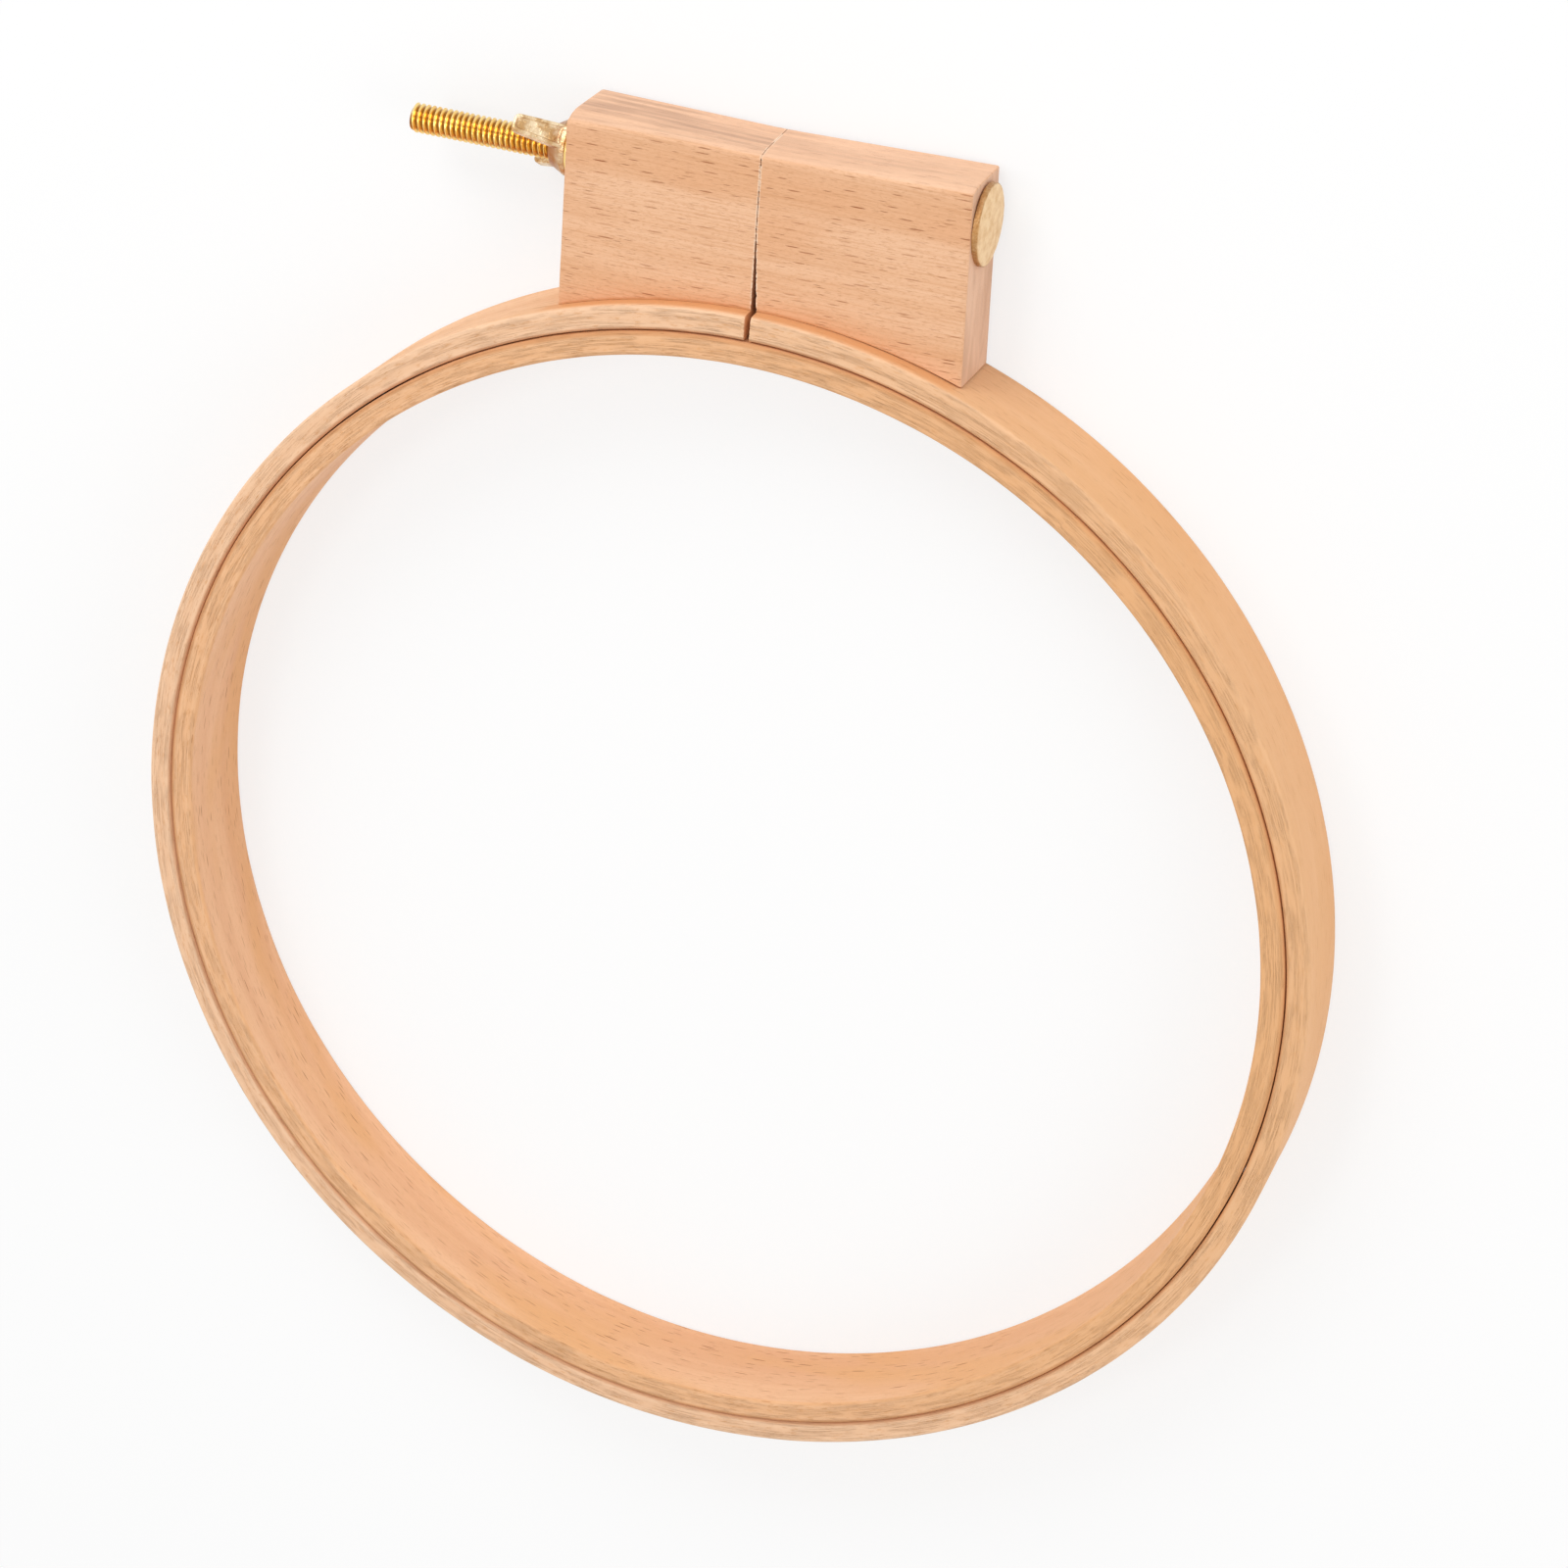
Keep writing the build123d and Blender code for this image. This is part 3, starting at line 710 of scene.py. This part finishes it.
def brassFinish(name, look):
    material, graph, here = startFinish(name)
    x, y, z = here
    cloud = graph.cloud(here, look["cloud"], 3.0, 0.6)
    grit = graph.cloud(here, look["grit"], 3.0, 0.65)
    spot = graph.vector(*(axis / brassMarks["speckCell"] for axis in here))
    specks = graph.node("ShaderNodeTexVoronoi", {}, {"Vector": spot, "Scale": 1.0})
    specks = 1 - specks.step(*brassMarks["speckEdge"])
    middle = hoop["boltY"] + ((bow["from"] - x).most(0.0) * bow["bend"] + bow["sag"]) * look["bowed"]
    radius = graph.measure("LENGTH", graph.vector(0, y - middle, z - hoop["boltZ"]))
    low = 1 - radius.step(*look["low"])         # painted shade and reflection: darker near the axis, in the thread's roots and round the nut's hub beside the block
    # painted reflection: the head's rim is darkened brown, as if mirroring the wood beside it
    rim = radius.step(*look["rim"]) * (grit * 0.8 + 0.4)
    colour = graph.mixColour(cloud.step(*brassMarks["dullEdge"]), look["bright"], look["dull"])
    colour = graph.mixColour(specks * look["specks"], colour, look["speck"])
    colour = graph.mixColour(low * look["shadeNearAxis"], colour, look["shadeNearAxisColour"])
    colour = graph.mixColour(rim.least(1.0) * look["rimShare"], colour, look["rimReflection"])
    rough = look["rough"] + cloud * look["roughCloud"] + grit * look["roughGrit"] + low * brassMarks["roughLow"]
    rough = rough - rim * look["rimShare"] * brassMarks["roughRim"]
    height = cloud * look["waves"] + grit * look["gritHeight"] - specks * look["specks"]
    endFinish(graph, colour, rough, height, look["bump"], {"Metallic": look["metal"]})
    return material


bolt = {
    "radius": 3.175, "pitch": 1.27, "threadDepth": 0.74, "underHead": 46.3, "length": 128.2, "threadLength": 64.7,
    "chamfer": 0.5, "around": 56, "perTurn": 16, "crest": 0.08, "root": 0.10, "runInTurns": 2.5,
    "pole": 0.01, "weld": 0.002, "overlap": 0.02,
    "headRadius": 8.75, "headRim": 1.5, "headDome": 0.4, "headRound": 0.45, "headBackRound": 0.25, "headGap": 0.02,
    "headSteps": 144, "neck": 3.3, "neckLength": 3.2, "neckInHead": 0.1, "neckRound": 0.3,
    "lump": 0.05, "dent": 0.02, "rimLump": 0.10, "rimFrom": 0.93, "shrunk": 0.06,
}


def threadTree():
    numbers = ("Radius", "Pitch", "Depth", "Length", "From", "Chamfer")
    inputs = {**{name: "Float" for name in numbers}, "Along": "Int", "Around": "Int", "Material": "Material"}
    tree, graph, entry, names = startGroup("boltThread", inputs)
    size = entry.also("Length")
    outside = entry.also("Radius")
    sheet = graph.node("GeometryNodeMeshGrid", {}, {
        "Size X": size, "Size Y": 1.0, "Vertices X": entry.also("Along"), "Vertices Y": entry.also("Around")})
    x, y, z = graph.parts(graph.node("GeometryNodeInputPosition", {}, {}))
    run = x + size / 2                          # distance from the thread's start towards the tip
    turn = y + 0.5                              # share of a turn round the bolt
    phase = graph.math("FRACT", run / entry.also("Pitch") + turn)
    ridge = (1 - abs(phase - 0.5) * 2).ramp(bolt["root"], 1 - bolt["crest"])
    runIn = run.step(0.0, bolt["runInTurns"] * bolt["pitch"] * mm)
    radius = outside - entry.also("Depth") * (1 - ridge) * runIn
    radius = radius.least(outside - entry.also("Chamfer") + size - run)
    pole = bolt["pole"] * mm
    radius = radius * (run.ramp(pole, pole * 2) * (size - run).ramp(pole, pole * 2))    # both ends close in a pole
    angle = turn * 2 * pi
    across = graph.math("COSINE", angle) * radius + hoop["boltY"] * mm
    up = graph.math("SINE", angle) * radius + hoop["boltZ"] * mm
    place = graph.vector(entry.also("From") - run, across, up)
    thread = graph.node("GeometryNodeSetPosition", {}, {"Geometry": sheet, "Position": place})
    thread = graph.node("GeometryNodeMergeByDistance", {}, {"Geometry": thread, "Distance": bolt["weld"] * mm})
    endGroup(graph, thread, entry.also("Material"))
    return tree, names


def latheMesh(profile, steps, shape=None):      # the profile's points are (along the bolt's axis, radius about it)
    build = bmesh.new()
    rings = []
    for along, radius in profile:
        if radius == 0:
            rings.append([build.verts.new((along, 0, 0))] * steps)
            continue
        turns = [2 * pi * i / steps for i in range(steps)]
        rings.append([build.verts.new((along, radius * cos(turn), radius * sin(turn))) for turn in turns])
    for lower, upper in zip(rings, rings[1:]):
        for i in range(steps):
            corners = dict.fromkeys((lower[i - 1], lower[i], upper[i], upper[i - 1]))       # at a pole two are one
            build.faces.new(list(corners))
    bmesh.ops.recalc_face_normals(build, faces=build.faces)
    if shape:
        for vertex in build.verts:
            vertex.co = shape(vertex.co, vertex.normal)
    return build


def arcPoints(alongMiddle, radiusMiddle, size, first, last, count):
    steps = [radians(first + (last - first) * i / count) for i in range(count + 1)]
    return [(alongMiddle + size * cos(step), radiusMiddle + size * sin(step)) for step in steps]


def headShape(co, normal):                      # a punched blank is never quite flat or round
    lump = noise.noise(co * 0.55) * bolt["lump"] + noise.noise(co * 1.9) * bolt["dent"]
    rim = max(0.0, hypot(co.y, co.z) / bolt["headRadius"] - bolt["rimFrom"]) / (1 - bolt["rimFrom"])
    lump = lump + rim * noise.noise(Vector((co.x * 2, co.y * 1.3, co.z * 1.3))) * bolt["rimLump"]
    return co + normal * (lump - bolt["shrunk"])


def headMesh():
    size, rim, gap = bolt["headRadius"], bolt["headRim"], bolt["headGap"]
    rounding, backRound = bolt["headRound"], bolt["headBackRound"]
    profile = [(gap, 0)] + [(gap, r) for r in spread(size * 0.15, size - 0.3, 8)]
    profile = profile + arcPoints(gap + backRound, size - backRound, backRound, 180, 90, 4)
    profile = profile + arcPoints(rim - rounding, size - rounding, rounding, 90, 12, 6)
    face = [(rim + bolt["headDome"] * (1 - (r / size) ** 2), r) for r in spread(size - rounding, 0, 14)]
    return latheMesh(profile + face[1:] + [(rim + bolt["headDome"], 0)], bolt["headSteps"], headShape)


def neckMesh():
    build = bmesh.new()
    size = Matrix.Diagonal((bolt["neckLength"] + bolt["neckInHead"], bolt["neck"] * 2, bolt["neck"] * 2, 1))
    bmesh.ops.create_cube(build, size=1.0, matrix=Matrix.Translation((-bolt["neckLength"] / 2, 0, 0)) @ size)
    bmesh.ops.bevel(build, geom=build.edges, offset=bolt["neckRound"], segments=3, affect="EDGES")
    return build


def boltMesh(brass, headMaterial):
    shankEnd = bolt["length"] - bolt["threadLength"]
    shankTip = -shankEnd - bolt["overlap"]
    shank = latheMesh([(0, 0), (0, bolt["radius"]), (shankTip, bolt["radius"]), (shankTip, 0)], bolt["around"])
    tree, names = threadTree()
    whole = bmesh.new()
    whole.from_mesh(growMesh(tree, {
        "Radius": bolt["radius"] * mm, "Pitch": bolt["pitch"] * mm, "Depth": bolt["threadDepth"] * mm,
        "Length": bolt["threadLength"] * mm, "From": (bolt["underHead"] - shankEnd) * mm,
        "Chamfer": bolt["chamfer"] * mm, "Along": int(bolt["threadLength"] / bolt["pitch"] * bolt["perTurn"]),
        "Around": bolt["around"] + 1, "Material": brass}, names))
    for face in whole.faces:                    # the group's material takes slot 1, and the thread belongs in slot 0
        face.material_index = 0
    bmesh.ops.recalc_face_normals(whole, faces=whole.faces)
    for part, slotIndex in ((headMesh(), 1), (neckMesh(), 0), (shank, 0)):
        before = len(whole.faces)
        whole.from_mesh(meshFrom(onBoltAxis(part, bolt["underHead"]), "part"))
        whole.faces.ensure_lookup_table()
        for face in whole.faces[before:]:
            face.material_index = slotIndex
    mesh = meshFrom(whole, "clampBolt", brass, headMaterial)
    for vertex in mesh.vertices:
        bent = bow["bend"] * max(0.0, bow["from"] - vertex.co.x / mm)
        vertex.co.y = vertex.co.y + (bent + bow["sag"]) * mm
    return mesh


boltMaterial = brassFinish("boltBrass", boltBrass)
headMaterial = brassFinish("headBrass", headBrass)
keepPiece(boltMesh(boltMaterial, headMaterial), "clampBolt", "right_half", "clamp_bolt", 50)


plate = {"outer": 6.5, "hole": 3.475, "thickness": 1.2, "round": 0.28, "outerEnd": -43.3, "steps": 96, "weld": 0.0001}


def washerMesh(material):
    size, inner, outer = plate["round"], plate["hole"] + plate["round"], plate["outer"] - plate["round"]
    far = -plate["thickness"] + size
    profile = []
    for along, radius, first in ((far, inner, 180), (-size, inner, 270), (-size, outer, 0), (far, outer, 90)):
        profile = profile + arcPoints(along, radius, size, first, first + 90, 4)
    build = latheMesh(profile + profile[:1], plate["steps"])
    bmesh.ops.remove_doubles(build, verts=build.verts, dist=plate["weld"])
    bmesh.ops.recalc_face_normals(build, faces=build.faces)
    return meshFrom(onBoltAxis(build, plate["outerEnd"]), "washer", material)


keepPiece(washerMesh(boltMaterial), "washerDisc", "washer", "washer")

nut = {"voxel": 0.13, "smooth": 14, "factor": 0.5, "weld": 0.001}


def castMesh(node, material):                   # the frame's own shape, with a casting's softened edges and skin
    build = bmesh.new()
    build.from_mesh(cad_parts[node].data)
    bmesh.ops.remove_doubles(build, verts=build.verts, dist=nut["weld"] * mm)
    piece = addObject("cast", meshFrom(build, "cast"))
    remesh = piece.modifiers.new("skin", "REMESH")
    remesh.mode = "VOXEL"
    remesh.voxel_size = nut["voxel"] * mm
    soften = piece.modifiers.new("soften", "SMOOTH")
    soften.factor = nut["factor"]
    soften.iterations = nut["smooth"]
    made = bakedMesh(piece)
    made.materials.clear()
    made.materials.append(material)
    return made


nutMaterial = brassFinish("nutBrass", nutBrass)
keepPiece(castMesh("wing_nut", nutMaterial), "wingNut", "wing_nut", "wing_nut", 80)


studio = {                                      # in metres
    "camera": (0.27402, 0.42140, 0.76476), "right": (0.93298, 0.06824, -0.35340), "up": (-0.21273, 0.89656, -0.38848),
    "lens": 93.67, "sensor": 36.0, "clip": (0.01, 50.0),
    "floorSize": 16.0, "floorWhite": 0.96, "floorGlow": 0.70, "worldLight": 0.67,
}
lamps = {                                       # place and size in metres, power in watts; each one points at the hoop
    "overhead": {"place": (-0.55, 0.35, 1.4), "size": 0.45, "power": 2.4},
    "clampSide": {"place": (-0.5, 1.25, 0.75), "size": 0.9, "power": 7.6},
    "headSide": {"place": (1.3, 0.1, 0.75), "size": 0.9, "power": 4.4},
}


def placeCamera():
    right = Vector(studio["right"]).normalized()
    back = right.cross(Vector(studio["up"])).normalized()
    turn = Matrix((right, back.cross(right), back)).transposed().to_4x4()
    camera = addObject("camera", bpy.data.cameras.new("camera"))
    camera.data.lens = studio["lens"]
    camera.data.sensor_width = studio["sensor"]
    camera.data.clip_start, camera.data.clip_end = studio["clip"]
    camera.matrix_world = Matrix.Translation(studio["camera"]) @ turn
    bpy.context.scene.camera = camera


def shownRays(graph):                           # rays that show the background: straight, mirrored or through glass
    rays = graph.node("ShaderNodeLightPath", {}, {}, "Is Camera Ray")
    return rays.most(rays.also("Is Glossy Ray")).most(rays.also("Is Transmission Ray"))


def placeFloor():
    size, level, white = studio["floorSize"] / 2, hoop["back"] * mm, studio["floorWhite"]
    corners = [(x * size, y * size, level) for x, y in ((-1, -1), (1, -1), (1, 1), (-1, 1))]
    mesh = bpy.data.meshes.new("floor")
    mesh.from_pydata(corners, [], [(0, 1, 2, 3)])
    material = bpy.data.materials.new("paper")
    material.use_nodes = True
    graph = Graph(material.node_tree)
    paper = graph.node("ShaderNodeBsdfDiffuse", {}, {"Color": (white, white, white, 1)})
    glow = graph.node("ShaderNodeEmission", {}, {"Color": (1, 1, 1, 1), "Strength": 1.0})
    share = shownRays(graph) * studio["floorGlow"]
    surface = graph.node("ShaderNodeMixShader", {}, {0: share, 1: paper, 2: glow})
    graph.node("ShaderNodeOutputMaterial", {}, {"Surface": surface})
    mesh.materials.append(material)
    addObject("floor", mesh)


def placeLight():
    world = bpy.data.worlds.new("studio")
    world.use_nodes = True
    graph = Graph(world.node_tree)
    strength = shownRays(graph) * (1 - studio["worldLight"]) + studio["worldLight"]
    sky = graph.node("ShaderNodeBackground", {}, {"Color": (1, 1, 1, 1), "Strength": strength})
    graph.node("ShaderNodeOutputWorld", {}, {"Surface": sky})
    bpy.context.scene.world = world
    for name, lamp in lamps.items():
        light = bpy.data.lights.new(name, "AREA")
        light.shape = "DISK"
        light.size = lamp["size"]
        light.energy = lamp["power"]
        place = Vector(lamp["place"])
        turn = place.to_track_quat("Z", "Y").to_matrix().to_4x4()
        addObject(name, light).matrix_world = Matrix.Translation(place) @ turn


placeCamera()
placeFloor()
placeLight()
bpy.context.scene.view_settings.view_transform = "Standard"
print("studio set")
